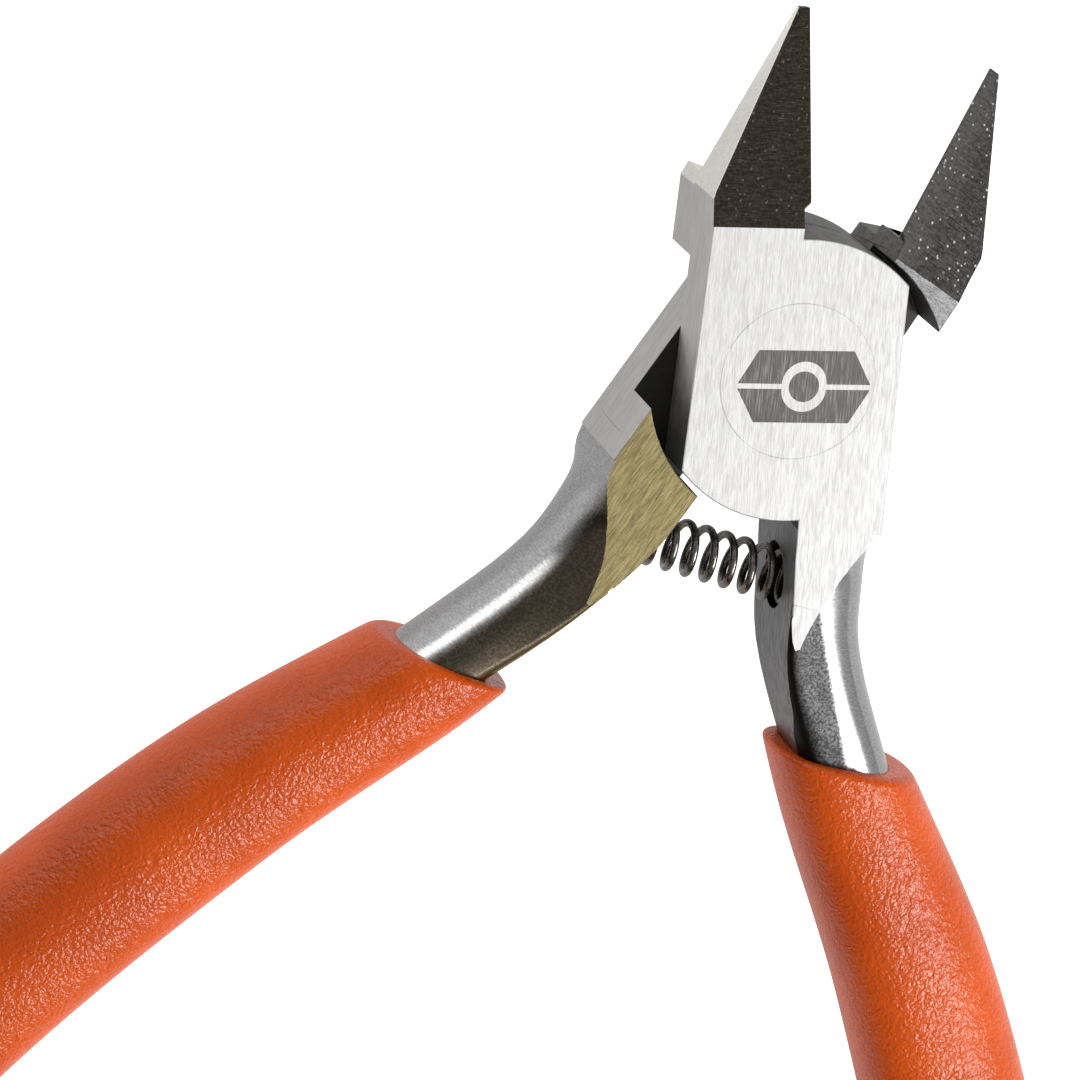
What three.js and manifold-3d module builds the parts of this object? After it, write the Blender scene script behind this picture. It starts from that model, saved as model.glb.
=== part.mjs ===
// Sprue nippers: two lap-jointed levers on a flush rivet, a coil return spring and slip-on grips.
// Millimetres, +Z up. The tool lies flat and open. The pivot's axis is +Z, the back face of the
// joint is z = 0, and +Y runs along the front lever's cutting edge, towards its tip.
// Both levers are drawn closed: the jaw on one side of x = 0 and the handle on the other. The back
// lever is the front one mirrored in x, and then turned open about the pivot.
import * as THREE from "three";
import { mergeVertices } from "three/addons/utils/BufferGeometryUtils.js";
import Module from "manifold-3d";

const wasm = await Module();
wasm.setup();

// Joint
const THICKNESS = 9;
const OPEN_ANGLE = THREE.MathUtils.degToRad(32);
const LAP_GAP = 0.08; // between the two half-thickness discs
const DISC_RADIUS = 9.72;
const RECESS_RADIUS = 10.1;
const RIVET_RADIUS = 4.2;
const RIVET_HEAD_RADIUS = 5.3;
const RIVET_HEAD_HEIGHT = 2.5;
const RIVET_FLARE = 0.8; // how far the peened back end spreads, over the same depth
const RUNNING_GAP = 0.05;

// Head of a lever, in plan. Both were ground by hand, so they differ a little. The head passes into
// the shank at rootEnd, and the shank is ground flat for flatLag further. innerGrowth is what the
// shank has more, or less, on its inner side.
const FRONT = {
  side: 1,
  jawSide: 6.75,
  handleSide: 7.1,
  rootOuter: 6.95,
  rootEnd: -10.65,
  flatLag: 0,
  innerGrowth: 0.35,
};
const BACK = {
  side: -1,
  jawSide: 6.05,
  handleSide: 7.3,
  rootOuter: 7.4,
  rootEnd: -11.15,
  flatLag: 2.15,
  innerGrowth: -0.75,
};
const DISC_FLARE = 0.7; // how much further out the jaw's side is at its lower end
const HANDLE_INNER = 1;

// Jaw
const CUT_GAP = 0.05; // each edge stops this far from the closing line
const INNER_RELIEF = 0.5;
const BASE_LINE = 10.4; // where the ground front face of the blade starts
const BASE_TOP_INNER = 10.75;
const BASE_TOP_OUTER = 12.8;
const BASE_CORNER = 0.45; // the jaw base's outer corner is cut back this far in x
const BLADE_START = 12;
const BLADE_TAPER = 0.495; // how fast the blade widens from its tip
const TIP_Y = 24.2;
const TIP_WIDTH = 0.85;
const TIP_FRONT = 4.1; // height of the front face at the tip
const BLADE_BACK = 3.5;
const EDGE_LAND = 0.15;
const EDGE_BEVEL = THREE.MathUtils.degToRad(24);

// Handle: a curved centreline in plan, and sizes at distances along it
const HANDLE_ROUTE = [
  [4.1, -9.5],
  [4.1, -14.5],
  [4.5, -20],
  [7.8, -30],
  [14.4, -45],
  [20.4, -64],
  [23, -80],
  [23.7, -100],
];
const SHANK_AT = [0, 4.7, 9, 13, 17, 22, 40, 92];
const SHANK_WIDTH = [6.3, 6.05, 5.85, 5.9, 6, 6, 5.4, 4.6];
const SHANK_THICKNESS = [9.1, 8.8, 8.2, 7.95, 7.75, 7.5, 6.8, 5.6];
const SHANK_INNER = [12, 12, 10, 6, 4, 3, 3, 3]; // superellipse exponents: the inner side is
const SHANK_OUTER = 2.2; // nearly square and the outer side is round
const SHANK_WEDGE = [0.15, 0.15, 0.14, 0.1, 0.04, 0, 0, 0]; // how much thicker the inner side is
const ROOT_SWELL = 26; // the shank's extra thickness where it leaves the head, before it is
const ROOT_FADE = 1; // ground flat, and the distance over which it dies away
const OUTER_FADE = 3; // the shank starts as wide as its head and comes to its own width over this
const INNER_GROWTH_FROM = 4; // where innerGrowth starts
const INNER_GROWTH_TO = 11; // and where it is all there
const SHANK_END = 88.5;

// Grip
const GRIP_AT = [18, 25, 38, 50, 65, 82, 90, 93.5];
const GRIP_WIDTH = [9.2, 9.9, 11.2, 11.7, 11.6, 10.9, 9.6, 8.6];
const GRIP_THICKNESS = [9.9, 9.9, 10, 10.1, 10, 9.7, 9, 8.2];
const GRIP_OUTER = 2.15;
const GRIP_INNER = 2.6;
const GRIP_MOUTH = 18.6; // where the slanted mouth crosses the centreline
const GRIP_BODY_END = 91.2;
const GRIP_END = 94.2;
const END_ROUNDING = 0.94; // 1 would close the end to a point
const MOUTH_SLANT = Math.tan(THREE.MathUtils.degToRad(32));
const SLANT_FADE = 16; // the slant dies away over this length
const RIGHT_GRIP = { offset: 0, slimmer: 0, outward: 0 };
const LEFT_GRIP = { offset: 1.2, slimmer: 0.6, outward: 0.3 }; // stretched slimmer, and less far on
const GRIP_CLEARANCE = 0.3;

// Return spring
const SPRING_WIRE = 0.56;
const SPRING_RADIUS = 1.67; // to the middle of the wire
const SPRING_FROM_PIVOT = 13.95;
const SPRING_LENGTH = 14.1;
const SPRING_TURNS = 10.5;
const CLOSED_TURNS = 1; // at each end
const SEAT_GAP = 0.3; // round the spring and behind its end
const SEAT_DEPTH = 3;

const ARC_STEPS = 72; // facets in a full circle
const RING_POINTS = 32;

const steel = new THREE.MeshStandardMaterial({ color: 0xd2d0cb, roughness: 0.32, metalness: 1 });
const rivetSteel = new THREE.MeshStandardMaterial({ color: 0xd8d6d2, roughness: 0.3, metalness: 1 });
const springSteel = new THREE.MeshStandardMaterial({ color: 0x2b2927, roughness: 0.35, metalness: 1 });
const orangeVinyl = new THREE.MeshStandardMaterial({ color: 0xdf5415, roughness: 0.5, metalness: 0 });

// ---- solids ----

function toSolid(geometry) {
  const bare = geometry.index ? geometry.toNonIndexed() : geometry.clone();
  bare.deleteAttribute("normal");
  bare.deleteAttribute("uv");
  const merged = mergeVertices(bare, 1e-4);
  const vertProperties = new Float32Array(merged.attributes.position.array);
  const triVerts = new Uint32Array(merged.index.array);
  return new wasm.Manifold(new wasm.Mesh({ numProp: 3, vertProperties, triVerts }));
}

function toGeometry(solid) {
  const mesh = solid.getMesh();
  const geometry = new THREE.BufferGeometry();
  geometry.setAttribute("position", new THREE.BufferAttribute(mesh.vertProperties, 3));
  geometry.setIndex(new THREE.BufferAttribute(mesh.triVerts, 1));
  geometry.computeVertexNormals();
  return geometry;
}

// A flat outline raised from low to high.
function slab(shape, low, high) {
  const geometry = new THREE.ExtrudeGeometry(shape, {
    depth: high - low,
    bevelEnabled: false,
    curveSegments: ARC_STEPS / 2,
  });
  return toSolid(geometry.translate(0, 0, low));
}

function block(width, depth, height, place) {
  return toSolid(new THREE.BoxGeometry(width, depth, height).applyMatrix4(place));
}

function upright(radius, low, high) {
  const cylinder = new THREE.CylinderGeometry(radius, radius, high - low, ARC_STEPS);
  return toSolid(cylinder.rotateX(Math.PI / 2).translate(0, 0, (low + high) / 2));
}

// A skin over closed rings of equal length, capped at both ends.
function skin(rings, flip) {
  const count = rings[0].length;
  const centreOf = (ring) => ring.reduce((sum, p) => sum.add(p), new THREE.Vector3()).divideScalar(count);
  const points = [...rings.flat(), centreOf(rings[0]), centreOf(rings.at(-1))];
  const faces = [];
  const face = (a, b, c) => faces.push(...(flip ? [a, c, b] : [a, b, c]));
  for (let i = 0; i < count; i += 1) {
    const next = (i + 1) % count;
    for (let row = 0; row < rings.length - 1; row += 1) {
      const here = row * count;
      const there = here + count;
      face(here + i, here + next, there + next);
      face(here + i, there + next, there + i);
    }
    const last = (rings.length - 1) * count;
    face(points.length - 2, next, i);
    face(points.length - 1, last + i, last + next);
  }
  const geometry = new THREE.BufferGeometry().setFromPoints(points);
  geometry.setIndex(faces);
  return toSolid(geometry);
}

// ---- the handle's centreline and the rings round it ----

const route = new THREE.CatmullRomCurve3(
  HANDLE_ROUTE.map(([x, y]) => new THREE.Vector3(x, y, THICKNESS / 2)),
  false,
  "centripetal",
);
const routeLength = route.getLength();

function sizeAt(distances, sizes) {
  const curve = new THREE.CubicInterpolant(distances, sizes, 1, new Float32Array(1));
  return (distance) => curve.evaluate(distance)[0];
}

const shankWidth = sizeAt(SHANK_AT, SHANK_WIDTH);
const shankForging = sizeAt(SHANK_AT, SHANK_THICKNESS);
const shankInner = sizeAt(SHANK_AT, SHANK_INNER);
const shankWedge = sizeAt(SHANK_AT, SHANK_WEDGE);
const gripWidth = sizeAt(GRIP_AT, GRIP_WIDTH);
const gripThickness = sizeAt(GRIP_AT, GRIP_THICKNESS);

function shankThickness(distance) {
  return shankForging(Math.max(distance, 0)) + ROOT_SWELL * Math.exp(-distance / ROOT_FADE);
}

// A superellipse across the centreline. slant leans it along the handle, wedge makes it thicker on
// the handle's inner side, and outerGrowth and innerGrowth widen one side only.
function ring(side, distance, section) {
  const { width, thickness, outer, inner, slant = 0, wedge = 0, outward = 0 } = section;
  const { outerGrowth = 0, innerGrowth = 0 } = section;
  const u = THREE.MathUtils.clamp(distance / routeLength, 0, 1);
  const centre = route.getPointAt(u);
  const along = route.getTangentAt(u);
  centre.addScaledVector(along, distance - u * routeLength);
  const outwards = new THREE.Vector3(-along.y, along.x, 0);
  return Array.from({ length: RING_POINTS }, (_, i) => {
    const angle = (i / RING_POINTS) * 2 * Math.PI;
    const power = 2 / (Math.cos(angle) > 0 ? outer : inner);
    const share = Math.sign(Math.cos(angle)) * Math.abs(Math.cos(angle)) ** power;
    const reach = width / 2 + (share > 0 ? outerGrowth : innerGrowth);
    const across = reach * share + outward;
    const up = (thickness / 2) * Math.sign(Math.sin(angle)) * Math.abs(Math.sin(angle)) ** power;
    const point = centre.clone().addScaledVector(outwards, across).addScaledVector(along, slant * across);
    point.z += up * (1 - wedge * share);
    point.x *= side;
    return point;
  });
}

function steps(from, to, count) {
  return Array.from({ length: count + 1 }, (_, i) => THREE.MathUtils.lerp(from, to, i / count));
}

function shankRings({ side, rootOuter, flatLag, innerGrowth }, distances, grow = 0) {
  const rootGrowth = rootOuter - HANDLE_ROUTE[0][0] - SHANK_WIDTH[0] / 2;
  return distances.map((distance) =>
    ring(side, distance, {
      width: shankWidth(distance) + 2 * grow,
      thickness: shankThickness(distance - flatLag) + 2 * grow,
      outer: SHANK_OUTER,
      inner: shankInner(distance),
      wedge: shankWedge(distance),
      outerGrowth: rootGrowth * Math.exp(-distance / OUTER_FADE),
      innerGrowth: innerGrowth * THREE.MathUtils.smoothstep(distance, INNER_GROWTH_FROM, INNER_GROWTH_TO),
    }),
  );
}

// ---- lever ----

// The forged head, seen from the front: jaw base, disc and the root of the handle.
function headOutline({ side, jawSide, handleSide, rootOuter, rootEnd }) {
  const discY = (x) => Math.sqrt(DISC_RADIUS ** 2 - x ** 2);
  const bottomX = -(jawSide + DISC_FLARE);
  const topX = -INNER_RELIEF;
  const at = (x, y) => [side * x, y];
  const angleOf = (x, y) => Math.atan2(y, side * x);
  const shape = new THREE.Shape();
  shape.moveTo(...at(topX, BASE_TOP_INNER));
  shape.lineTo(...at(BASE_CORNER - jawSide, BASE_TOP_OUTER));
  shape.lineTo(...at(-jawSide, BASE_TOP_OUTER - 2 * BASE_CORNER));
  shape.lineTo(...at(bottomX, -discY(bottomX)));
  const lower = [angleOf(bottomX, -discY(bottomX)), angleOf(HANDLE_INNER, -discY(HANDLE_INNER))];
  shape.absarc(0, 0, DISC_RADIUS, ...lower, side < 0);
  shape.lineTo(...at(HANDLE_INNER, rootEnd));
  shape.lineTo(...at(rootOuter, rootEnd));
  shape.lineTo(...at(handleSide, discY(handleSide)));
  const upper = [angleOf(handleSide, discY(handleSide)), angleOf(topX, discY(topX))];
  shape.absarc(0, 0, DISC_RADIUS, ...upper, side < 0);
  shape.closePath();
  return shape;
}

// The blade and the front of the jaw base. The blade's outer edge is one straight line.
function bladeOutline({ side, jawSide }) {
  const edgeX = (y) => -TIP_WIDTH - (TIP_Y - y) * BLADE_TAPER;
  const shoulderX = BASE_CORNER / 3 - jawSide;
  const shoulderY = TIP_Y + (shoulderX + TIP_WIDTH) / BLADE_TAPER;
  const corners = [
    [-INNER_RELIEF, DISC_RADIUS],
    [-INNER_RELIEF, BLADE_START - 0.4],
    [-CUT_GAP, BLADE_START],
    [-CUT_GAP, TIP_Y],
    [edgeX(TIP_Y), TIP_Y],
    [shoulderX, shoulderY],
    [-jawSide, shoulderY - BASE_CORNER],
    [-jawSide, DISC_RADIUS],
  ];
  return new THREE.Shape(corners.map(([x, y]) => new THREE.Vector2(side * x, y)));
}

const FACE_SLOPE = Math.atan((THICKNESS - TIP_FRONT) / (TIP_Y - BASE_LINE));

// What is ground away in front of the blade.
function frontGrind() {
  const place = new THREE.Matrix4()
    .makeTranslation(0, BASE_LINE, THICKNESS)
    .multiply(new THREE.Matrix4().makeRotationX(-FACE_SLOPE))
    .multiply(new THREE.Matrix4().makeTranslation(0, 20, 5));
  return block(30, 40, 10, place);
}

// What is ground away behind the cutting edge, above the jaw base: a plane just under the edge
// that leans back.
function edgeGrind(side) {
  const place = new THREE.Matrix4()
    .makeTranslation(-side * CUT_GAP, BASE_LINE, THICKNESS)
    .multiply(new THREE.Matrix4().makeRotationX(-FACE_SLOPE))
    .multiply(new THREE.Matrix4().makeTranslation(0, 0, -EDGE_LAND))
    .multiply(new THREE.Matrix4().makeRotationY(side * EDGE_BEVEL))
    .multiply(new THREE.Matrix4().makeTranslation(side * 5, 10, -10));
  const above = new THREE.Matrix4().makeTranslation(0, BLADE_START - 0.4 + 10, THICKNESS / 2);
  return block(10, 40, 20, place).intersect(block(20, 20, 30, above));
}

// The rivet's outline turned about the pivot. grow widens it and overrun lengthens it, to cut with.
function rivetSolid(grow = 0, overrun = 0) {
  const head = THICKNESS - RIVET_HEAD_HEIGHT - grow;
  const back = RIVET_RADIUS + RIVET_FLARE + grow;
  const profile = [
    [0, -overrun],
    [back, -overrun],
    [back, 0],
    [RIVET_RADIUS + grow, RIVET_FLARE],
    [RIVET_RADIUS + grow, head],
    [RIVET_HEAD_RADIUS + grow, head],
    [RIVET_HEAD_RADIUS + grow, THICKNESS + overrun],
    [0, THICKNESS + overrun],
  ].filter(([x, z], i, all) => i === 0 || x !== all[i - 1][0] || z !== all[i - 1][1]);
  const lathe = new THREE.LatheGeometry(profile.map(([x, z]) => new THREE.Vector2(x, z)), ARC_STEPS);
  return toSolid(lathe.rotateX(Math.PI / 2));
}

// A blind hole in line with the open spring. It is drawn round the spring's end and turned with it.
function springSeat(side) {
  const radius = SPRING_RADIUS + SPRING_WIRE / 2 + SEAT_GAP;
  const drill = new THREE.CylinderGeometry(radius, radius, SEAT_DEPTH, ARC_STEPS / 2);
  drill.rotateZ(Math.PI / 2);
  const centreX = SPRING_LENGTH / 2 + SEAT_GAP - SEAT_DEPTH / 2;
  drill.translate(side * centreX, -SPRING_FROM_PIVOT, THICKNESS / 2);
  return toSolid(drill.rotateZ((-side * OPEN_ANGLE) / 2));
}

function leverGeometry(lever) {
  const { side } = lever;
  const middle = THICKNESS / 2;
  const recess =
    lever === FRONT
      ? upright(RECESS_RADIUS, -1, middle + LAP_GAP / 2)
      : upright(RECESS_RADIUS, middle - LAP_GAP / 2, THICKNESS + 1);
  const level = block(200, 300, THICKNESS, new THREE.Matrix4().makeTranslation(0, 0, middle));
  const distances = [...steps(0, 9.5, 19), ...steps(10.5, 21, 7), ...steps(28, SHANK_END, 5)];
  const shank = skin(shankRings(lever, distances), side < 0).intersect(level);
  const solid = slab(headOutline(lever), 0, THICKNESS)
    .add(slab(bladeOutline(lever), BLADE_BACK, THICKNESS))
    .add(shank)
    .subtract(frontGrind())
    .subtract(edgeGrind(side))
    .subtract(recess)
    .subtract(rivetSolid(RUNNING_GAP, 1))
    .subtract(springSeat(side));
  return toGeometry(solid);
}

// ---- grip ----

function gripGeometry(lever, { offset, slimmer, outward }) {
  const { side } = lever;
  const slantAt = (distance) => {
    const fade = 1 - THREE.MathUtils.clamp((distance - GRIP_MOUTH) / SLANT_FADE, 0, 1);
    return MOUTH_SLANT * fade ** 2;
  };
  const gripRing = (distance, scale) =>
    ring(side, distance + offset, {
      width: (gripWidth(distance) - slimmer) * scale,
      thickness: gripThickness(distance) * scale,
      outer: GRIP_OUTER,
      inner: GRIP_INNER,
      slant: slantAt(distance),
      outward,
    });
  const endRing = (t) => {
    const distance = THREE.MathUtils.lerp(GRIP_BODY_END, GRIP_END, t);
    return gripRing(distance, Math.sqrt(1 - (END_ROUNDING * t) ** 2));
  };
  const body = steps(GRIP_MOUTH, GRIP_BODY_END, 15).map((distance) => gripRing(distance, 1));
  const outside = skin([...body, ...steps(0, 1, 4).slice(1).map(endRing)], side < 0);
  const hollow = shankRings(lever, steps(12, SHANK_END + GRIP_CLEARANCE, 11), GRIP_CLEARANCE);
  return toGeometry(outside.subtract(skin(hollow, side < 0)));
}

// ---- spring ----

// A straight helix that runs from seat to seat. Its end turns are closed.
class SpringCurve extends THREE.Curve {
  getPoint(t, target = new THREE.Vector3()) {
    const turn = t * SPRING_TURNS;
    const closed = CLOSED_TURNS * SPRING_WIRE * 1.08;
    const open = (SPRING_LENGTH - SPRING_WIRE - 2 * closed) / (SPRING_TURNS - 2 * CLOSED_TURNS);
    const first = Math.min(turn, CLOSED_TURNS);
    const last = Math.max(turn - (SPRING_TURNS - CLOSED_TURNS), 0);
    const rise = (first + last) * (closed / CLOSED_TURNS) + (turn - first - last) * open;
    const angle = turn * 2 * Math.PI;
    const x = rise - (SPRING_LENGTH - SPRING_WIRE) / 2;
    return target.set(x, SPRING_RADIUS * Math.cos(angle), SPRING_RADIUS * Math.sin(angle));
  }
}

function springGeometry() {
  const wire = new THREE.Shape().absarc(0, 0, SPRING_WIRE / 2, 0, 2 * Math.PI);
  const helix = new THREE.ExtrudeGeometry(wire, {
    steps: Math.round(SPRING_TURNS * 12),
    curveSegments: 3,
    extrudePath: new SpringCurve(),
    bevelEnabled: false,
  });
  helix.translate(0, -SPRING_FROM_PIVOT, THICKNESS / 2);
  return toGeometry(toSolid(helix.rotateZ(-OPEN_ANGLE / 2)));
}

// ---- assembly ----

function add(parent, name, geometry, material) {
  const mesh = new THREE.Mesh(geometry, material);
  mesh.name = name;
  parent.add(mesh);
}

const nippers = new THREE.Group();
const backSide = new THREE.Group();
backSide.rotation.z = -OPEN_ANGLE;
nippers.add(backSide);

add(nippers, "front_lever", leverGeometry(FRONT), steel);
add(nippers, "right_grip", gripGeometry(FRONT, RIGHT_GRIP), orangeVinyl);
add(nippers, "pivot_rivet", toGeometry(rivetSolid()), rivetSteel);
add(nippers, "return_spring", springGeometry(), springSteel);
add(backSide, "back_lever", leverGeometry(BACK), steel);
add(backSide, "left_grip", gripGeometry(BACK, LEFT_GRIP), orangeVinyl);

export default nippers;
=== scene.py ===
# Looks for the sprue nippers. Blender 4.5, metres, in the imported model's frame: the pivot's axis is
# +Z, the back of the joint is z = 0, and +Y runs along the front lever's cutting edge.
import math

import bmesh
import bpy
import numpy as np
from mathutils import Matrix, Vector
from mathutils.bvhtree import BVHTree


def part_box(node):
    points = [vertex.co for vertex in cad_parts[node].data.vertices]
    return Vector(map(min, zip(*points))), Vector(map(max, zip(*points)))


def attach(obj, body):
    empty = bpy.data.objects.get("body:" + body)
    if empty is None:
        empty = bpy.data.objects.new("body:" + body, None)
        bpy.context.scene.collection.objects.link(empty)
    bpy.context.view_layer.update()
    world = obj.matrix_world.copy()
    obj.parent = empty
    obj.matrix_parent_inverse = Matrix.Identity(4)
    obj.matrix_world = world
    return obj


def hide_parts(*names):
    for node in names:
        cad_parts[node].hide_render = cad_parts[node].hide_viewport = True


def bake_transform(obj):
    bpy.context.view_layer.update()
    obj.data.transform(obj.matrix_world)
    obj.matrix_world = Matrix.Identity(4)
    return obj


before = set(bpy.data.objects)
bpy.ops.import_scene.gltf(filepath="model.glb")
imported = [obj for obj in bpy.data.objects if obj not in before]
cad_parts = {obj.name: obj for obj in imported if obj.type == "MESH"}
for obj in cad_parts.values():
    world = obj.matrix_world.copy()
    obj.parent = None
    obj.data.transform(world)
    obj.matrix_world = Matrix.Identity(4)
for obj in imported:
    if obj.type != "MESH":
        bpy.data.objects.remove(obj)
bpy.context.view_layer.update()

MM = 0.001
OPEN_ANGLE = math.radians(32)  # between the levers at rest
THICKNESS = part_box("pivot_rivet")[1].z / MM

# Camera, in millimetres and degrees
CAMERA_PLACE = (-99.79, 85.52, 320.51)
CAMERA_TURN = (-17.822, -13.532, 4.635)
CAMERA_LENS = 169.74

# Handles, in millimetres in a closed lever's own frame: the centreline in plan, and the grip's
# sizes at distances along it
HANDLE_ROUTE = [
    (4.1, -9.5),
    (4.1, -14.5),
    (4.5, -20),
    (7.8, -30),
    (14.4, -45),
    (20.4, -64),
    (23, -80),
    (23.7, -100),
]
GRIP_AT = [18, 25, 38, 50, 65, 82, 90, 93.5]
GRIP_WIDTH = [9.2, 9.9, 11.2, 11.7, 11.6, 10.9, 9.6, 8.6]
GRIP_THICKNESS = [9.9, 9.9, 10, 10.1, 10, 9.7, 9, 8.2]
GRIP_OUTER = 2.15  # superellipse exponents
GRIP_INNER = 2.6
GRIP_MOUTH = 18.6
GRIP_BODY_END = 89.5
GRIP_END = 94.2
MOUTH_SLANT = math.tan(math.radians(32))
SLANT_FADE = 16
SHANK_END = 88.5
LIP_RADIUS = 0.6
LIP_INNER_RADIUS = 0.12
MOUTH_BITE = 0.02  # how far the mouth's inner edge is sunk into the shank
INSIDE_CLEARANCE = 0.04  # between the sleeve's inside and the shank
INSIDE_FROM_END = 0.6  # the deepest inside ring, from the shank's end
INSIDE_POCKET = 1.1  # from that ring on to the bottom of the sleeve
INSIDE_FROM_MOUTH = 1.2
OUTSIDE_FROM_MOUTH = 1.6
INSIDE_RINGS = 24
OUTSIDE_RINGS = 44
RIGHT_GRIP = {"offset": 0, "slimmer": 0, "outward": 0}
LEFT_GRIP = {"offset": 1.2, "slimmer": 0.6, "outward": 0.3}
RING_POINTS = 48

# Spring
SPRING_WIRE = 0.56
SPRING_RADIUS = 1.67
SPRING_FROM_PIVOT = 13.95
SPRING_LENGTH = 14.1
SPRING_TURNS = 10.5
CLOSED_TURNS = 1
CLOSED_PITCH = 1.08  # of the closed end turns, in wire thicknesses
STEPS_PER_TURN = 40
WIRE_SIDES = 12

# Rivet
RIVET_HEAD_RADIUS = 5.335
RIVET_HEAD_HEIGHT = 2.5
RIVET_SHANK_RADIUS = 4.2
RIVET_BACK_RADIUS = 5.035
RIVET_FLARE = 0.8
LATHE_STEPS = 144

EDGE_BREAK = 0.09  # how far the levers' edges are rounded over
SMALLEST_EDGE = 0.01  # vertices closer than this are merged
CREASE = math.radians(24)  # edges sharper than this are rounded over
FLAT_ANGLE = 0.004  # radians between neighbouring faces of one flat
JOIN_ANGLE = 0.005
NEAR_RIVET = 5.5

# Where a lever's finishes change, in millimetres in the closed lever's frame
AT_SURFACE = 0.01
AT_LAP = 0.2
RECESS_RADIUS = 10.1
AT_RECESS_WALL = 0.12
COLLAR_ABOVE = 7
COLLAR_INSIDE = -4
BLADE_ABOVE = 10
BEVEL_ABOVE = 10.5
INNER_BELOW = -9
SHANK_BELOW = -11.2
SHANK_CURVE_BELOW = -10.4  # for faces that aren't upright

# The same by the Z part of a face's normal
FLAT = 0.9995
NEARLY_FLAT = 0.999
UPRIGHT = 0.01


def link(obj):
    bpy.context.scene.collection.objects.link(obj)
    return obj


def mesh_object(name, points, faces, material, smooth=True):
    mesh = bpy.data.meshes.new(name)
    mesh.from_pydata([tuple(p) for p in points], [], faces)
    mesh.validate()
    mesh.materials.append(material)
    mesh.polygons.foreach_set("use_smooth", [smooth] * len(mesh.polygons))
    return link(bpy.data.objects.new(name, mesh))


# ---- materials ----


class Paint:
    """A material's node tree, with short calls for the nodes used here."""

    def __init__(self, name, side=1):
        self.material = bpy.data.materials.new(name)
        self.material.use_nodes = True
        self.tree = self.material.node_tree
        self.shader = self.tree.nodes["Principled BSDF"]
        self.side = side

    def node(self, kind, **settings):
        made = self.tree.nodes.new(kind)
        for key, value in settings.items():
            setattr(made, key, value)
        return made

    def feed(self, socket, value):
        if isinstance(value, bpy.types.NodeSocket):
            self.tree.links.new(value, socket)
        else:
            socket.default_value = value

    def lever_mm(self):
        """Millimetres in the closed lever's frame: jaw at x < 0, handle at x > 0."""
        place = self.node("ShaderNodeTexCoord").outputs["Object"]
        mapping = self.node("ShaderNodeMapping")
        self.feed(mapping.inputs["Vector"], place)
        mapping.inputs["Scale"].default_value = (self.side / MM, 1 / MM, 1 / MM)
        if self.side < 0:
            mapping.inputs["Rotation"].default_value = (0, 0, -OPEN_ANGLE)
        return mapping.outputs["Vector"]

    def stretch(self, vector, scale, turn=0.0):
        """The vector turned about Z, in radians, and then scaled along each axis."""
        mapping = self.node("ShaderNodeMapping")
        self.feed(mapping.inputs["Vector"], vector)
        mapping.inputs["Scale"].default_value = scale
        if turn:
            turned = self.node("ShaderNodeMapping")
            self.feed(turned.inputs["Vector"], vector)
            turned.inputs["Rotation"].default_value = (0, 0, turn)
            self.feed(mapping.inputs["Vector"], turned.outputs["Vector"])
        return mapping.outputs["Vector"]

    def noise(self, vector, scale=1.0, detail=3.0, rough=0.6):
        made = self.node("ShaderNodeTexNoise")
        self.feed(made.inputs["Vector"], vector)
        made.inputs["Scale"].default_value = scale
        made.inputs["Detail"].default_value = detail
        made.inputs["Roughness"].default_value = rough
        return made.outputs["Fac"]

    def cells(self, vector, scale=1.0):
        """Distance to the nearest of some scattered points."""
        made = self.node("ShaderNodeTexVoronoi", feature="F1")
        self.feed(made.inputs["Vector"], vector)
        made.inputs["Scale"].default_value = scale
        return made.outputs["Distance"]

    def math(self, operation, a, b=0.5):
        made = self.node("ShaderNodeMath", operation=operation)
        for socket, value in zip(made.inputs, (a, b)):
            self.feed(socket, value)
        return made.outputs[0]

    def fade(self, value, low, high, to_low=0.0, to_high=1.0):
        """to_low below low and to_high above high, with a smooth step between them."""
        made = self.node("ShaderNodeMapRange", interpolation_type="SMOOTHSTEP")
        for socket, number in zip(made.inputs, (value, low, high, to_low, to_high)):
            self.feed(socket, number)
        return made.outputs[0]

    def split(self, vector):
        made = self.node("ShaderNodeSeparateXYZ")
        self.feed(made.inputs[0], vector)
        return made.outputs

    def mix(self, share, first, second):
        made = self.node("ShaderNodeMix", data_type="RGBA")
        self.feed(made.inputs["Factor"], share)
        self.feed(made.inputs["A"], first)
        self.feed(made.inputs["B"], second)
        return made.outputs["Result"]

    def colour(self, value):
        self.feed(self.shader.inputs["Base Color"], value)

    def finish(self, metal, rough, bump=None, strength=0.1, depth=0.02):
        self.feed(self.shader.inputs["Metallic"], metal)
        self.feed(self.shader.inputs["Roughness"], rough)
        if bump is not None:
            made = self.node("ShaderNodeBump")
            made.inputs["Strength"].default_value = strength
            made.inputs["Distance"].default_value = depth * MM
            self.feed(made.inputs["Height"], bump)
            self.feed(self.shader.inputs["Normal"], made.outputs["Normal"])
        return self.material


def grey(value, warm=0.0):
    """A grey colour, a little redder than blue when warm is above 0."""
    return (value * (1 + warm), value, value * (1 - warm), 1)


def brushed(name, side, dark, light, rough, across=4.5, along=0.16, strength=0.25):
    """Steel with fine grinding lines along the lever, in two widths."""
    paint = Paint(name, side)
    place = paint.lever_mm()
    fine = paint.noise(paint.stretch(place, (across * 2.4, along * 2, across * 2.4)), 1, 4, 0.7)
    broad = paint.noise(paint.stretch(place, (across * 0.5, along, across * 0.5)), 1, 3, 0.6)
    lines = paint.math("ADD", paint.math("MULTIPLY", fine, 0.6), paint.math("MULTIPLY", broad, 0.4))
    share = paint.fade(lines, 0.36, 0.62)
    paint.colour(paint.mix(share, dark, light))
    roughness = paint.fade(fine, 0.3, 0.7, rough * 0.85, rough * 1.15)
    return paint, place, share, roughness, fine, strength


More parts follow.
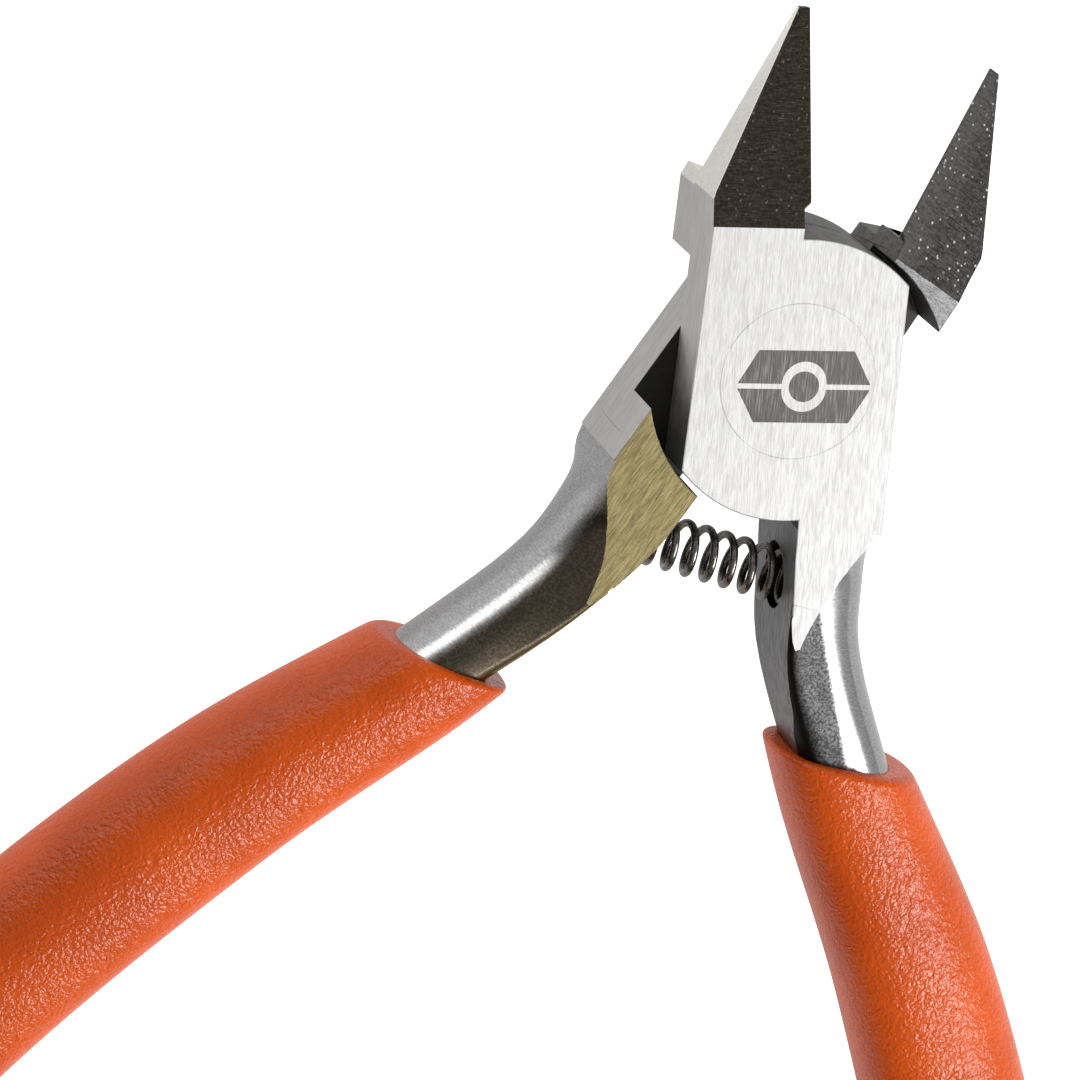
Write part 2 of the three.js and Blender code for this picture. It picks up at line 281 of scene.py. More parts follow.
def plain_brushed(*arguments, **settings):
    paint, _, _, roughness, fine, strength = brushed(*arguments, **settings)
    return paint.finish(1.0, roughness, fine, strength)


FACE_DARK = grey(0.74, 0.01)
FACE_LIGHT = grey(0.95, 0.005)
RIVET_LINE_RADIUS = 5.34
RIVET_LINE_HALF_WIDTH = 0.09


def face_steel():
    """The bright front face, with the rivet's faint circle."""
    paint, place, share, roughness, fine, strength = brushed(
        "face_steel", 1, FACE_DARK, FACE_LIGHT, 0.16, across=9, along=0.5, strength=0.06
    )
    x, y, _ = paint.split(place)
    squares = paint.math("ADD", paint.math("POWER", x, 2), paint.math("POWER", y, 2))
    radius = paint.math("SQRT", squares)
    off = paint.math("ABSOLUTE", paint.math("SUBTRACT", radius, RIVET_LINE_RADIUS))
    ring = paint.fade(off, 0.0, RIVET_LINE_HALF_WIDTH, 1.0, 0.0)
    patches = paint.fade(paint.noise(place, 0.35, 2), 0.42, 0.6)
    ring = paint.math("MULTIPLY", ring, paint.math("MULTIPLY", patches, 0.4))
    paint.colour(paint.mix(ring, paint.mix(share, FACE_DARK, FACE_LIGHT), grey(0.3)))
    return paint.finish(1.0, roughness, fine, strength)


def blade_steel(name, side, dark, light, speck, speck_share, edge_light):
    """Dark ground blade, its darkness partly a painted dark reflection: fine cross scratches, a few
    nicks, light specks, a paler cutting edge.
    """
    paint = Paint(name, side)
    place = paint.lever_mm()
    cross = paint.noise(paint.stretch(place, (1.1, 14, 3)), 1, 5, 0.75)
    grain = paint.noise(place, 5, 4, 0.7)
    blend = paint.math("ADD", paint.math("MULTIPLY", cross, 0.55), paint.math("MULTIPLY", grain, 0.45))
    x = paint.split(place)[0]
    pale = paint.fade(x, -3.2, -0.2, 0.0, edge_light)
    share = paint.math("ADD", paint.fade(blend, 0.4, 0.64), pale)
    body = paint.mix(share, dark, light)
    scratch = paint.noise(paint.stretch(place, (0.3, 11, 1), 0.03), 1, 2, 0.9)
    patches = paint.fade(paint.noise(place, 0.6, 2), 0.5, 0.62)
    lines = paint.math("MULTIPLY", paint.fade(scratch, 0.66, 0.72), patches)
    body = paint.mix(paint.math("MULTIPLY", lines, 0.4), body, speck)
    dots = paint.fade(paint.cells(paint.stretch(place, (2.6, 2.1, 1.2), 0.44)), 0.12, 0.24, 1.0, 0.0)
    chosen = paint.fade(paint.noise(place, 0.8, 1), 0.44, 0.54)
    dots = paint.math("MULTIPLY", dots, paint.math("MULTIPLY", chosen, speck_share))
    paint.colour(paint.mix(dots, body, speck))
    return paint.finish(1.0, paint.fade(blend, 0.35, 0.65, 0.36, 0.5), blend, 0.35)


# The line where the front lever's polish and painted lighter side start is x = POLISH_LINE_X -
# POLISH_LINE_SLOPE * y
POLISH_LINE_X = -1.3
POLISH_LINE_SLOPE = 0.28
POLISH_PER_MM = 0.31
INNER_LEAN = (-0.42, -0.26)  # the inner corner's painted reflection colour comes in between these


def shank_steel(name, side, front, outer, inner, polish, rough, rise=None):
    """The forged and polished shank, with painted reflections: the outer side painted lighter, the
    front painted dark over forge-scale specks, and the inner corner painted a reflection colour.

    The lighter paint and the polish come in between the two values of polish. With rise (low y,
    high y, amount) they are how far the surface leans outwards, less that amount above high y.
    Without it they are the distance outwards from the line above, times POLISH_PER_MM.
    """
    paint = Paint(name, side)
    place = paint.lever_mm()
    normal = paint.node("ShaderNodeTexCoord").outputs["Normal"]
    turned = paint.node("ShaderNodeMapping")
    paint.feed(turned.inputs["Vector"], normal)
    turned.inputs["Scale"].default_value = (side, 1, 1)
    if side < 0:
        turned.inputs["Rotation"].default_value = (0, 0, -OPEN_ANGLE)
    outwards = paint.split(turned.outputs["Vector"])[0]
    x, y, _ = paint.split(place)
    spots = paint.noise(place, 5.5, 4, 0.75)
    patches = paint.noise(place, 0.7, 3)
    ragged = paint.math("MULTIPLY", paint.math("SUBTRACT", spots, 0.5), 0.16)
    # rise lowers the lean towards the joint, so more of the front is painted dark there
    if rise:
        outwards = paint.math("SUBTRACT", outwards, paint.fade(y, rise[0], rise[1], 0.0, rise[2]))
        zone = paint.math("ADD", outwards, ragged)
    else:
        line = paint.math("SUBTRACT", POLISH_LINE_X, paint.math("MULTIPLY", y, POLISH_LINE_SLOPE))
        outside = paint.math("MULTIPLY", paint.math("SUBTRACT", x, line), POLISH_PER_MM)
        zone = paint.math("ADD", outside, ragged)
    lean = paint.math("ADD", outwards, ragged)
    share = paint.fade(zone, polish[0], polish[1])
    # The front's colour: forge-scale specks painted dark as a painted reflection, then the inner
    # corner's painted reflection colour
    scale = paint.mix(paint.fade(spots, 0.4, 0.62), front[0], front[1])
    scale = paint.mix(paint.fade(patches, 0.35, 0.7, 0.0, 0.5), scale, front[0])
    scale = paint.mix(paint.fade(lean, *INNER_LEAN, 1.0, 0.0), scale, inner)
    scratch = paint.noise(paint.stretch(place, (3, 12, 3)), 1, 3)
    # The outer side painted lighter, a painted reflection, with polish scratches
    painted_light_side = paint.mix(paint.fade(scratch, 0.35, 0.65), outer[0], outer[1])
    paint.colour(paint.mix(share, scale, painted_light_side))
    roughness = paint.fade(zone, polish[0], polish[1], rough[0], rough[1])
    return paint.finish(1.0, roughness, spots, 0.12)


# Near-black for the lap faces and the recess wall between the levers: blackened steel, darkened further
# as painted shade
def black_scale_and_painted_shade():
    paint = Paint("black_scale_and_painted_shade")
    place = paint.lever_mm()
    spots = paint.noise(place, 3, 4)
    paint.colour(paint.mix(spots, grey(0.006, 0.1), grey(0.022, 0.1)))
    return paint.finish(0.5, 0.55, spots, 0.2)


def spring_wire():
    paint = Paint("black_spring_wire")
    spots = paint.noise(paint.lever_mm(), 4, 3)
    paint.colour(paint.mix(paint.fade(spots, 0.35, 0.7), grey(0.1, 0.08), grey(0.2, 0.08)))
    return paint.finish(1.0, paint.fade(spots, 0.3, 0.7, 0.2, 0.36), spots, 0.1)


VINYL_DARK = (0.48, 0.058, 0.001, 1)
VINYL_LIGHT = (0.56, 0.073, 0.002, 1)
PEBBLES_PER_MM = 2.9
GRAIN_DEPTH = 0.12


def grip_vinyl():
    """Orange vinyl with a pebbled, leather-like grain."""
    paint = Paint("orange_vinyl")
    place = paint.lever_mm()
    swirl = paint.fade(paint.noise(place, 0.12, 2), 0.35, 0.65)
    paint.colour(paint.mix(swirl, VINYL_DARK, VINYL_LIGHT))
    wobble = paint.node("ShaderNodeVectorMath", operation="ADD")
    warp = paint.node("ShaderNodeTexNoise")
    paint.feed(warp.inputs["Vector"], place)
    warp.inputs["Scale"].default_value = 1.6
    paint.feed(wobble.inputs[0], place)
    paint.feed(wobble.inputs[1], warp.outputs["Color"])
    pebbles = paint.cells(wobble.outputs[0], PEBBLES_PER_MM)
    fine = paint.noise(place, 7, 3)
    dents = paint.math("MULTIPLY", pebbles, -0.9)
    height = paint.math("ADD", dents, paint.math("MULTIPLY", fine, 0.25))
    paint.shader.inputs["Specular IOR Level"].default_value = 0.3
    return paint.finish(0.0, paint.fade(fine, 0.3, 0.7, 0.2, 0.3), height, 0.6, GRAIN_DEPTH)


def mark_ink():
    paint = Paint("mark_ink")
    place = paint.lever_mm()
    streaks = paint.noise(paint.stretch(place, (9, 0.5, 9)), 1, 4, 0.7)
    paint.colour(paint.mix(paint.fade(streaks, 0.45, 0.75), grey(0.05, 0.08), grey(0.2, 0.03)))
    return paint.finish(0.3, 0.5, streaks, 0.2)


# ---- levers ----

# Both jaws painted dark: ground steel, with the dark reflection of the jaws' slanted faces painted into
# the colour
BLADE_STEEL = {
    1: blade_steel(
        "front_blade",
        1,
        dark=(0.034, 0.028, 0.021, 1),
        light=(0.085, 0.071, 0.056, 1),
        speck=grey(0.8),
        speck_share=0.15,
        edge_light=0.0,
    ),
    -1: blade_steel(
        "back_blade",
        -1,
        dark=(0.038, 0.035, 0.034, 1),
        light=(0.12, 0.114, 0.111, 1),
        speck=grey(0.95),
        speck_share=0.6,
        edge_light=0.5,
    ),
}
# The back lever's face is the same brushed steel as the front face; its olive, darker colour is a
# painted reflection. OLIVE_CORNER paints the back shank's inner corner to match.
OLIVE_DARK = (0.13, 0.108, 0.049, 1)
OLIVE_LIGHT = (0.24, 0.2, 0.1, 1)
OLIVE_CORNER = (0.2, 0.17, 0.05, 1)
# The back shank's front: forge scale painted dark brown as a painted reflection
BROWN_SCALE_AND_PAINTED_REFLECTION = ((0.06, 0.048, 0.036, 1), (0.13, 0.104, 0.075, 1))
BEVEL_DARK = (0.84, 0.81, 0.75, 1)
BEVEL_LIGHT = (0.94, 0.91, 0.86, 1)


def lever_materials(side):
    """The finishes of one lever, by the names that region gives."""

    def steel(name, dark, light, rough, **lines):
        return plain_brushed(f"{name}_{side}", side, dark, light, rough, **lines)

    if side > 0:
        face = face_steel()
        # Shank colours painted by zone as painted reflections (see shank_steel)
        shank = shank_steel(
            "front_shank",
            side,
            front=(grey(0.02), grey(0.09)),
            outer=(grey(0.28), grey(0.38)),
            inner=grey(0.012, 0.1),
            polish=(-0.1, 0.12),
            rough=(0.5, 0.2),
        )
    else:
        # The back lever's face painted olive and darker: a painted reflection
        olive = {"across": 9, "along": 0.5, "strength": 0.08}
        face = plain_brushed("olive_face_painted_reflection", side, OLIVE_DARK, OLIVE_LIGHT, 0.28, **olive)
        # Shank colours painted by zone as painted reflections (see shank_steel)
        shank = shank_steel(
            "back_shank",
            side,
            front=BROWN_SCALE_AND_PAINTED_REFLECTION,
            outer=(grey(0.33), grey(0.48)),
            inner=OLIVE_CORNER,
            polish=(0.42, 0.66),
            rough=(0.3, 0.26),
            rise=(-26, -12, 0.3),
        )
    return {
        "face": face,
        "back": steel("back_face", grey(0.5), grey(0.66), 0.36, across=9, along=0.5),
        "collar": steel("collar_steel", grey(0.06, 0.03), grey(0.18, 0.03), 0.45, across=3, along=3),
        "shoulder": steel("shoulder_steel", grey(0.07), grey(0.19), 0.35, across=3, along=6),
        "side": steel("side_steel", grey(0.46, 0.02), grey(0.62, 0.02), 0.42, across=7, along=0.4),
        "blade": BLADE_STEEL[side],
        "bevel": steel("bevel_steel", BEVEL_DARK, BEVEL_LIGHT, 0.3),
        # The joint's lap faces and recess wall: blackened steel and painted shade
        "recess": black_scale_and_painted_shade(),
        "inner": steel("inner_steel", grey(0.08), grey(0.28), 0.45, across=9, along=0.6),
        "shank": shank,
    }


def region(centre, normal, side):
    """Which finish a lever's face has, from its middle and normal in the closed lever's frame."""
    across = math.hypot(centre.x, centre.y)
    level = abs(normal.z)
    if level > NEARLY_FLAT and abs(centre.z - THICKNESS / 2) < AT_LAP:
        return "recess"
    if level < UPRIGHT and abs(across - RECESS_RADIUS) < AT_RECESS_WALL:
        return "recess"
    if normal.z > FLAT and centre.z > THICKNESS - AT_SURFACE:
        if side > 0 or centre.y < 0:
            return "face"
        return "shoulder"
    if normal.z < -FLAT and centre.z < AT_SURFACE:
        return "back"
    if centre.y > COLLAR_ABOVE and centre.x > COLLAR_INSIDE and level < 0.2 and normal.x > -0.5:
        return "collar"
    if centre.y > BLADE_ABOVE and normal.z > 0.8:
        return "blade"
    if centre.y > BEVEL_ABOVE and level < 0.1 and normal.y > 0.3:
        return "bevel"
    if centre.y < INNER_BELOW and normal.x < -0.9:
        return "inner"
    if centre.y < SHANK_BELOW or (centre.y < SHANK_CURVE_BELOW and level > UPRIGHT):
        return "shank"
    return "side"


def lever_piece(name, node, side, body):
    """The CAD lever with its flat faces joined up, its edges broken and a finish for each face."""
    to_lever = Matrix.Scale(1 / MM, 4)
    if side < 0:
        to_lever = Matrix.Diagonal((-1, 1, 1, 1)) @ Matrix.Rotation(OPEN_ANGLE, 4, "Z") @ to_lever
    materials = lever_materials(side)
    order = list(materials)
    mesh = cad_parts[node].data.copy()
    mesh.materials.clear()
    for material in materials.values():
        mesh.materials.append(material)
    bm = bmesh.new()
    bm.from_mesh(mesh)
    bmesh.ops.remove_doubles(bm, verts=bm.verts, dist=SMALLEST_EDGE * MM)
    bmesh.ops.dissolve_degenerate(bm, edges=bm.edges, dist=SMALLEST_EDGE * MM / 10)
    bm.normal_update()

    def paint_faces():
        for f in bm.faces:
            normal = (to_lever.to_3x3() @ f.normal).normalized()
            finish = region(to_lever @ f.calc_center_median(), normal, side)
            f.material_index = order.index(finish)
            curved = abs(normal.z) < NEARLY_FLAT and finish not in ("blade", "bevel")
            f.smooth = finish == "shank" or curved

    paint_faces()
    shank = order.index("shank")
    flat = [
        e
        for e in bm.edges
        if len(e.link_faces) == 2
        and e.calc_face_angle() < FLAT_ANGLE
        and all(f.material_index != shank for f in e.link_faces)
    ]
    verts = list({v for e in flat for v in e.verts})
    bmesh.ops.dissolve_limit(
        bm, angle_limit=JOIN_ANGLE, verts=verts, edges=flat, delimit={"MATERIAL"}
    )
    weights = bm.edges.layers.float.new("bevel_weight_edge")
    for e in bm.edges:
        if len(e.link_faces) != 2:
            continue
        finishes = {f.material_index for f in e.link_faces}
        middle = to_lever @ ((e.verts[0].co + e.verts[1].co) / 2)
        near_rivet = math.hypot(middle.x, middle.y) < NEAR_RIVET
        if e.calc_face_angle() > CREASE and not near_rivet and shank not in finishes:
            e[weights] = 1
        elif len(finishes) == 2 or near_rivet:
            e.smooth = False
    bm.to_mesh(mesh)
    bm.free()
    obj = link(bpy.data.objects.new(name, mesh))
    bevel = obj.modifiers.new("broken_edges", "BEVEL")
    bevel.limit_method = "WEIGHT"
    bevel.width = EDGE_BREAK * MM
    bevel.segments = 2
    bevel.use_clamp_overlap = False
    normals = obj.modifiers.new("flat_faces", "WEIGHTED_NORMAL")
    normals.keep_sharp = True
    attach(obj, body)
    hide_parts(node)


# ---- rivet ----


def rivet_piece():
    """The flush rivet, turned about its axis: flared back end, shank and wide head."""
    head = THICKNESS - RIVET_HEAD_HEIGHT
    profile = [
        (0, 0),
        (RIVET_BACK_RADIUS, 0),
        (RIVET_SHANK_RADIUS, RIVET_FLARE),
        (RIVET_SHANK_RADIUS, head),
        (RIVET_HEAD_RADIUS, head),
        (RIVET_HEAD_RADIUS, THICKNESS),
        (0, THICKNESS),
    ]
    inner = profile[1:-1]
    points = [(0, 0, 0), (0, 0, THICKNESS * MM)]
    for step in range(LATHE_STEPS):
        angle = 2 * math.pi * step / LATHE_STEPS
        points += [(r * math.cos(angle) * MM, r * math.sin(angle) * MM, z * MM) for r, z in inner]
    faces = []
    for step in range(LATHE_STEPS):
        here = 2 + step * len(inner)
        there = 2 + (step + 1) % LATHE_STEPS * len(inner)
        faces.append((0, there, here))
        faces.append((1, here + len(inner) - 1, there + len(inner) - 1))
        faces += [(here + i, there + i, there + i + 1, here + i + 1) for i in range(len(inner) - 1)]
    obj = mesh_object("flush_rivet", points, faces, bpy.data.materials["face_steel"])
    obj.data.set_sharp_from_angle(angle=CREASE)
    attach(obj, "front_half")
    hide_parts("pivot_rivet")


# ---- grips ----


def handle_centreline(count=40):
    """Points along the handle's route, 1 mm or so apart, as a centripetal Catmull-Rom curve."""
    p = [np.array(q, float) for q in HANDLE_ROUTE]
    p = [2 * p[0] - p[1], *p, 2 * p[-1] - p[-2]]
    line = []
    for a, b, c, d in zip(p, p[1:], p[2:], p[3:]):
        before, between, after = (math.sqrt(np.linalg.norm(u - v)) for u, v in ((a, b), (b, c), (c, d)))
        start = ((b - a) / before - (c - a) / (before + between) + (c - b) / between) * between
        end = ((c - b) / between - (d - b) / (between + after) + (d - c) / after) * between
        for t in np.linspace(0, 1, count, endpoint=False):
            line.append(
                (2 * t**3 - 3 * t**2 + 1) * b
                + (t**3 - 2 * t**2 + t) * start
                + (3 * t**2 - 2 * t**3) * c
                + (t**3 - t**2) * end
            )
    return np.array([*line, p[-2]])


CENTRELINE = handle_centreline()
CENTRELINE_STEPS = np.linalg.norm(np.diff(CENTRELINE, axis=0), axis=1)
ALONG_CENTRELINE = np.concatenate([[0], np.cumsum(CENTRELINE_STEPS)])


def size_at(distance, sizes):
    """Smooth interpolation of the sizes at GRIP_AT."""
    slopes = np.gradient(np.array(sizes, float), np.array(GRIP_AT, float))
    distance = min(max(distance, GRIP_AT[0]), GRIP_AT[-1])
    i = min(int(np.searchsorted(GRIP_AT, distance, side="right")) - 1, len(GRIP_AT) - 2)
    gap = GRIP_AT[i + 1] - GRIP_AT[i]
    t = (distance - GRIP_AT[i]) / gap
    return (
        (2 * t**3 - 3 * t**2 + 1) * sizes[i]
        + (t**3 - 2 * t**2 + t) * gap * slopes[i]
        + (3 * t**2 - 2 * t**3) * sizes[i + 1]
        + (t**3 - t**2) * gap * slopes[i + 1]
    )


def grip_piece(name, node, lever_node, side, shape, body):
    """A sleeve: over the outside, round the closed end, and from the lip in along the shank."""
    placed = Matrix.Scale(MM, 4)
    if side < 0:
        placed = Matrix.Rotation(-OPEN_ANGLE, 4, "Z") @ Matrix.Diagonal((-1, 1, 1, 1)) @ placed
    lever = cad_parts[lever_node].data
    corners = [v.co for v in lever.vertices]
    lever_tree = BVHTree.FromPolygons(corners, [p.vertices for p in lever.polygons])

    def frame_at(distance):
        along = distance + shape["offset"]
        x, y = (np.interp(along, ALONG_CENTRELINE, CENTRELINE[:, k]) for k in (0, 1))
        ahead = [np.interp(along + 0.3, ALONG_CENTRELINE, CENTRELINE[:, k]) for k in (0, 1)]
        behind = [np.interp(along - 0.3, ALONG_CENTRELINE, CENTRELINE[:, k]) for k in (0, 1)]
        tangent = Vector((ahead[0] - behind[0], ahead[1] - behind[1], 0)).normalized()
        return Vector((x, y, THICKNESS / 2)), tangent, Vector((-tangent.y, tangent.x, 0))

    def slant_at(distance):
        fade = 1 - min(max((distance - GRIP_MOUTH) / SLANT_FADE, 0), 1)
        return MOUTH_SLANT * fade**2

    def ring(distance, scale=1.0):
        centre, tangent, outwards = frame_at(distance)
        slant = slant_at(distance)
        points = []
        for i in range(RING_POINTS):
            angle = 2 * math.pi * i / RING_POINTS
            cosine, sine = math.cos(angle), math.sin(angle)
            power = 2 / (GRIP_OUTER if cosine > 0 else GRIP_INNER)
            width = (size_at(distance, GRIP_WIDTH) - shape["slimmer"]) * scale
            across = width / 2 * math.copysign(abs(cosine) ** power, cosine) + shape["outward"]
            up = size_at(distance, GRIP_THICKNESS) * scale / 2 * math.copysign(abs(sine) ** power, sine)
            points.append(centre + outwards * across + tangent * (slant * across) + Vector((0, 0, up)))
        return points

    def on_shank(distance, clear):
        """The ring where the shank's own surface crosses the grip's cross-section."""
        centre, _, _ = frame_at(distance)
        hits = []
        for point in ring(distance):
            away = (placed @ point - placed @ centre).normalized()
            hit = lever_tree.ray_cast(placed @ centre, away)[0]
            hits.append(placed.inverted() @ (hit + away * clear * MM))
        return hits

    mouth_outer = ring(GRIP_MOUTH)
    mouth_inner = on_shank(GRIP_MOUTH, -MOUTH_BITE)
    mouth_tangent = frame_at(GRIP_MOUTH)[1]

    def lip(turn, radius, edge, other):
        """The edge's ring on the lip's rounding, moved along the grip and towards the other edge."""
        back = radius * (1 - math.sin(turn))
        down = radius * (1 - math.cos(turn))
        return [e + mouth_tangent * back + (o - e).normalized() * down for e, o in zip(edge, other)]

    deepest = SHANK_END - INSIDE_FROM_END - shape["offset"]
    depths = np.linspace(deepest, GRIP_MOUTH + INSIDE_FROM_MOUTH, INSIDE_RINGS)
    pocket = frame_at(depths[0])[1] * INSIDE_POCKET
    rings = [[p + pocket for p in on_shank(depths[0], INSIDE_CLEARANCE)]]
    rings += [on_shank(d, INSIDE_CLEARANCE) for d in depths]
    for turn in np.linspace(0, math.pi / 2, 3):
        rings.append(lip(turn, LIP_INNER_RADIUS, mouth_inner, mouth_outer))
    for turn in np.linspace(math.pi / 2, 0, 6):
        rings.append(lip(turn, LIP_RADIUS, mouth_outer, mouth_inner))
    start = GRIP_MOUTH + OUTSIDE_FROM_MOUTH
    rings += [ring(d) for d in np.linspace(start, GRIP_BODY_END, OUTSIDE_RINGS)]
    for t in np.sin(np.linspace(0, math.pi / 2, 10)[1:-1]):
        rings.append(ring(GRIP_BODY_END + (GRIP_END - GRIP_BODY_END) * t, math.sqrt(1 - t**2)))
    points = [placed @ p for r in rings for p in r]
    points.append(placed @ (sum(rings[0], Vector()) / RING_POINTS))
    centre, _, outwards = frame_at(GRIP_END)
    points.append(placed @ (centre + outwards * shape["outward"]))
    faces = []
    last = (len(rings) - 1) * RING_POINTS
    for i in range(RING_POINTS):
        j = (i + 1) % RING_POINTS
        for row in range(len(rings) - 1):
            a, b = row * RING_POINTS, (row + 1) * RING_POINTS
            faces.append((a + i, a + j, b + j, b + i))
        faces.append((len(points) - 2, j, i))
        faces.append((len(points) - 1, last + i, last + j))
    if side > 0:
        faces = [f[::-1] for f in faces]
    vinyl = bpy.data.materials.get("orange_vinyl") or grip_vinyl()
    obj = mesh_object(name, points, faces, vinyl)
    smooth = obj.modifiers.new("smooth", "SUBSURF")
    smooth.levels = 1
    smooth.render_levels = 1
    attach(obj, body)
    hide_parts(node)


# ---- spring ----


def spring_piece():
    """A helix from seat bottom to seat bottom."""
    closed = CLOSED_TURNS * SPRING_WIRE * CLOSED_PITCH
    pitch = (SPRING_LENGTH - SPRING_WIRE - 2 * closed) / (SPRING_TURNS - 2 * CLOSED_TURNS)

    def centre_at(turn):
        first = min(turn, CLOSED_TURNS)
        last = max(turn - (SPRING_TURNS - CLOSED_TURNS), 0)
        rise = (first + last) * closed / CLOSED_TURNS + (turn - first - last) * pitch
        angle = 2 * math.pi * turn
        x = rise - (SPRING_LENGTH - SPRING_WIRE) / 2
        return Vector((x, SPRING_RADIUS * math.cos(angle), SPRING_RADIUS * math.sin(angle)))

    middle = Matrix.Translation((0, -SPRING_FROM_PIVOT, THICKNESS / 2))
    place = Matrix.Rotation(-OPEN_ANGLE / 2, 4, "Z") @ middle
    place = Matrix.Scale(MM, 4) @ place
    turns = np.linspace(0, SPRING_TURNS, int(SPRING_TURNS * STEPS_PER_TURN) + 1)
    points = []
    for turn in turns:
        centre = centre_at(turn)
        radial = Vector((0, centre.y, centre.z)).normalized()
        along = (centre_at(turn + 0.001) - centre_at(turn - 0.001)).normalized()
        side = along.cross(radial).normalized()
        for k in range(WIRE_SIDES):
            angle = 2 * math.pi * k / WIRE_SIDES
            offset = radial * math.cos(angle) + side * math.sin(angle)
            points.append(place @ (centre + offset * (SPRING_WIRE / 2)))
    faces = []
    for row in range(len(turns) - 1):
        a, b = row * WIRE_SIDES, (row + 1) * WIRE_SIDES
        for k in range(WIRE_SIDES):
            after = (k + 1) % WIRE_SIDES
            faces.append((a + k, a + after, b + after, b + k))
    faces.append(tuple(reversed(range(WIRE_SIDES))))
    last = (len(turns) - 1) * WIRE_SIDES
    faces.append(tuple(last + k for k in range(WIRE_SIDES)))
    obj = mesh_object("return_coil", points, faces, spring_wire())
    obj.data.set_sharp_from_angle(angle=math.radians(60))
    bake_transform(obj)
    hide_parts("return_spring")


# ---- printed mark: a plain badge, cut by a slit, round a disc ----

MARK_CENTRE = (0.45, -0.35)
MARK_FILM = 0.012
MARK_HALF_WIDTH = 4.6
MARK_TOP_HALF_WIDTH = 3.3
MARK_HALF_HEIGHT = 2.3
MARK_HOLE = 1.55
MARK_DISC = 1.05
MARK_SLIT = 0.36
MARK_STEPS = 24


def mark_piece():
    """Three thin printed shapes on the front face: the badge's two halves and the disc."""
    corner = math.atan2(MARK_HALF_HEIGHT, MARK_TOP_HALF_WIDTH)
    lean = (1 - MARK_TOP_HALF_WIDTH / MARK_HALF_WIDTH) / MARK_HALF_HEIGHT

    def edge(angle):
        cosine, sine = abs(math.cos(angle)), math.sin(angle)
        return min(1 / (cosine / MARK_HALF_WIDTH + lean * sine), MARK_HALF_HEIGHT / max(sine, 0.01))

    angles = sorted([*np.linspace(0, math.pi, MARK_STEPS + 1), corner, math.pi - corner])
    outline = [(edge(a) * math.cos(a), edge(a) * math.sin(a)) for a in angles]
    outline += [(MARK_HOLE * math.cos(a), MARK_HOLE * math.sin(a)) for a in reversed(angles)]
    upper = [(x, y + MARK_SLIT / 2) for x, y in outline]
    lower = [(x, -y) for x, y in reversed(upper)]
    turns = [2 * math.pi * i / (2 * MARK_STEPS) for i in range(2 * MARK_STEPS)]
    disc = [(MARK_DISC * math.cos(a), MARK_DISC * math.sin(a)) for a in turns]
    bm = bmesh.new()
    for shape in (upper, lower, disc):
        layers = []
        for height in (THICKNESS - MARK_FILM, THICKNESS + MARK_FILM):
            corners = [(x + MARK_CENTRE[0], y + MARK_CENTRE[1], height) for x, y in shape]
            layers.append([bm.verts.new(Vector(c) * MM) for c in corners])
        bottom, top = layers
        bm.faces.new(top)
        bm.faces.new(bottom[::-1])
        for i in range(len(shape)):
            j = (i + 1) % len(shape)
            bm.faces.new((bottom[i], bottom[j], top[j], top[i]))
    mesh = bpy.data.meshes.new("printed_mark")
    bm.to_mesh(mesh)
    bm.free()
    mesh.materials.append(mark_ink())
    obj = link(bpy.data.objects.new("printed_mark", mesh))
    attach(obj, "front_half")


# ---- studio ----

# The lamps: where each stands from the pivot, which way its width runs, its distance, size and watts
KEY = {
    "direction": (0.29, -0.32, 0.91),
    "level": (1, 0, 0),
    "far": 0.55,
    "size": (0.34, 0.34),
    "power": 0.125,
}
OVERHEAD = {
    "direction": (0, 0, 1),
    "level": (1, 0, 0),
    "far": 0.6,
    "size": (2.0, 2.0),
    "power": 4.4,
}
BRIGHT = {
    "direction": (0.56, -0.36, 0.74),
    "level": (0.53, 0.85, 0),
    "far": 0.55,
    "size": (0.34, 0.11),
    "power": 3.6,
}
RIGHT = {
    "direction": (0.93, -0.15, 0.33),
    "level": (0, 1, 0),
    "far": 0.6,
    "size": (0.7, 0.35),
    "power": 0.45,
}
TOP_LEFT = {
    "direction": (-0.42, 0.8, 0.3),
    "level": (0.87, 0.5, 0),
    "far": 0.6,
    "size": (0.6, 0.28),
    "power": 1.6,
}
FILL = {
    "direction": (0.6, -0.78, 0.12),
    "level": (0, 0, 1),
    "far": 0.6,
    "size": (0.4, 0.5),
    "power": 1.8,
}
WORLD = 0.1
FLOOR_COLOUR = (0.3, 0.3, 0.3, 1)
FLOOR_GLOW = 1.3
FLOOR_GLOSS_GLOW = 0.5  # as the steel and the vinyl reflect it
FLOOR_SIZE = 4.0
FLOOR_GAP = 0.0002


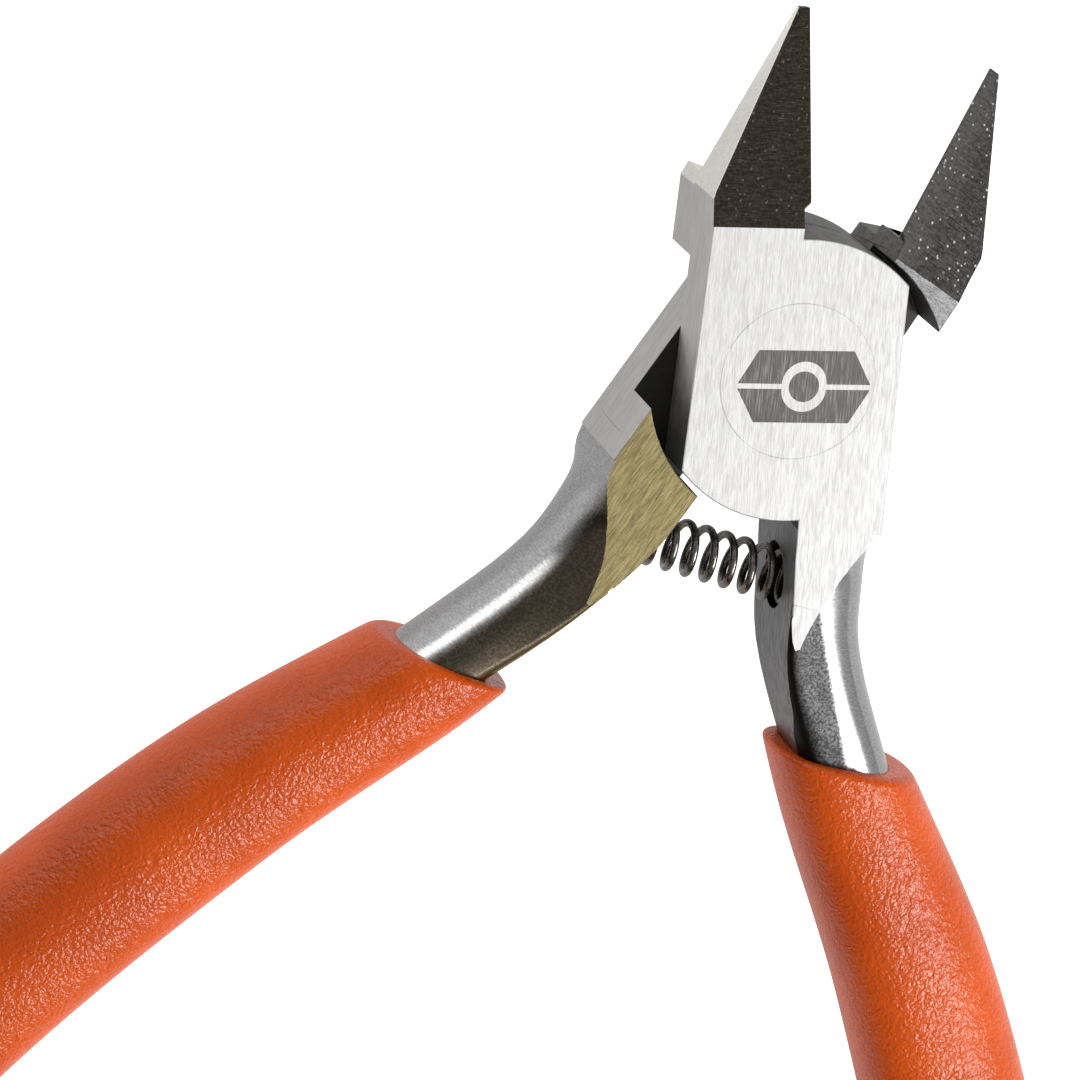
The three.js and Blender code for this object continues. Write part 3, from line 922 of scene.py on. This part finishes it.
def soft_light(name, direction, level, far, size, power):
    """A rectangular lamp that faces the pivot."""
    lamp = bpy.data.lights.new(name, "AREA")
    lamp.shape = "RECTANGLE"
    lamp.size, lamp.size_y = size
    lamp.energy = power
    obj = link(bpy.data.objects.new(name, lamp))
    away = Vector(direction).normalized()
    across = Vector(level)
    across = (across - away * across.dot(away)).normalized()
    obj.location = away * far
    obj.rotation_euler = Matrix((across, away.cross(across), away)).transposed().to_euler()
    return obj


def studio():
    """The camera, the lamps and a glowing floor under the tool."""
    camera = bpy.data.cameras.new("camera")
    camera.lens = CAMERA_LENS
    camera.sensor_width = 36
    camera.clip_start = 0.01
    obj = link(bpy.data.objects.new("camera", camera))
    obj.location = Vector(CAMERA_PLACE) * MM
    obj.rotation_euler = [math.radians(a) for a in CAMERA_TURN]
    bpy.context.scene.camera = obj
    bpy.context.scene.view_settings.view_transform = "Standard"
    soft_light("key", **KEY)
    soft_light("bright", **BRIGHT)
    soft_light("right", **RIGHT)
    soft_light("top_left", **TOP_LEFT)
    soft_light("fill", **FILL).visible_glossy = False
    soft_light("overhead", **OVERHEAD).visible_diffuse = False
    world = bpy.data.worlds.new("world")
    world.use_nodes = True
    world.node_tree.nodes["Background"].inputs["Color"].default_value = (WORLD, WORLD, WORLD, 1)
    bpy.context.scene.world = world
    paper = Paint("floor_paper")
    paper.colour(FLOOR_COLOUR)
    paper.shader.inputs["Emission Color"].default_value = (1, 1, 1, 1)
    glossy = paper.node("ShaderNodeLightPath").outputs["Is Glossy Ray"]
    glow = paper.fade(glossy, 0.0, 1.0, FLOOR_GLOW, FLOOR_GLOSS_GLOW)
    paper.feed(paper.shader.inputs["Emission Strength"], glow)
    paper.finish(0.0, 0.8)
    half = FLOOR_SIZE / 2
    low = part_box("right_grip")[0].z - FLOOR_GAP
    corners = [(-half, -half, low), (half, -half, low), (half, half, low), (-half, half, low)]
    floor = mesh_object("floor", corners, [(0, 1, 2, 3)], paper.material, smooth=False)


lever_piece("front_lever_ground", "front_lever", 1, "front_half")
lever_piece("back_lever_ground", "back_lever", -1, "back_half")
rivet_piece()
spring_piece()
grip_piece("right_sleeve", "right_grip", "front_lever", 1, RIGHT_GRIP, "front_half")
grip_piece("left_sleeve", "left_grip", "back_lever", -1, LEFT_GRIP, "back_half")
mark_piece()
studio()
